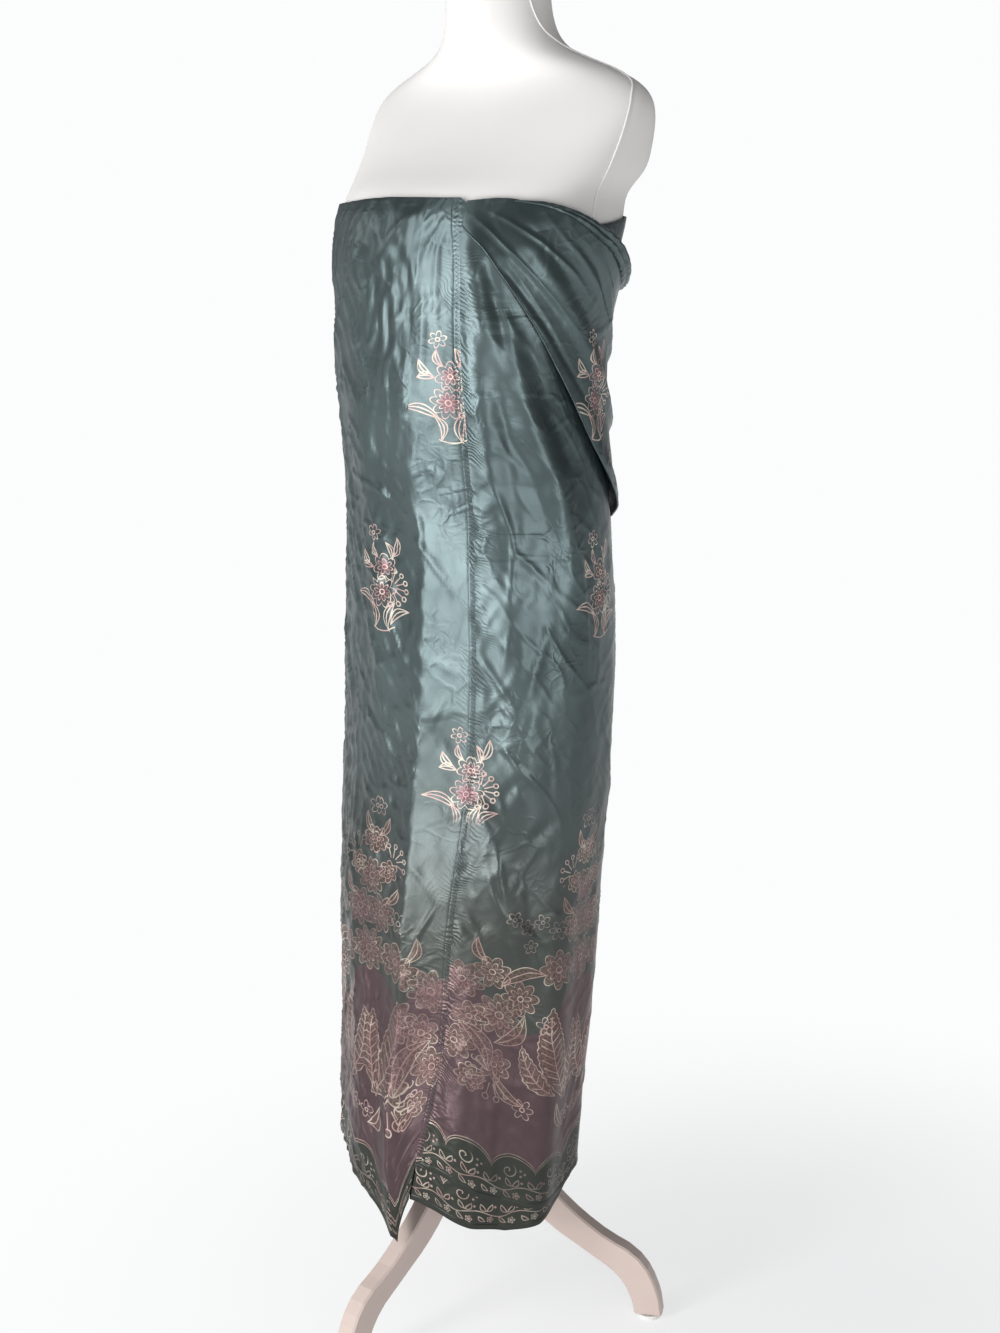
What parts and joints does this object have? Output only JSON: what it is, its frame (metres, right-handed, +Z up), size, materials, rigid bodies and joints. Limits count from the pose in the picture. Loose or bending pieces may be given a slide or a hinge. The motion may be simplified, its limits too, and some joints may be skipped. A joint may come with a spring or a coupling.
{
  "type": "silk scarf worn as a wrap on a limbless dress form with a tripod stand",
  "caption": "Long silk batik scarf wrapped as a strapless column on a limbless white dress form, which stands on a pole with three curved wooden legs.",
  "frame": {"origin": "middle of the whole object's base, on the floor", "axes": "+Z up, the form's front faces -Y, its left side is at +X"},
  "size_m": [0.38, 0.3681, 1.4623],
  "materials": {
    "silk": "soft satin silk, muted green grey with a pink and cream batik print",
    "jersey": "matt off-white jersey cover",
    "painted_wood": "satin pinkish-white paint on wood",
    "white_plastic": "smooth white glides"
  },
  "bodies": {
    "root": {"front_stretch": "silk", "side_stretch": "silk", "seam_hem": "silk", "swag": "silk", "inner_stretch": "silk", "top_roll": "silk", "form_torso": "jersey", "neck_cap": "painted_wood", "base_plate": "painted_wood", "pole": "painted_wood", "hub": "painted_wood", "leg_front": "painted_wood", "leg_left": "painted_wood", "leg_right": "painted_wood", "glide_front": "white_plastic", "glide_left": "white_plastic", "glide_right": "white_plastic"}
  },
  "joints": []
}
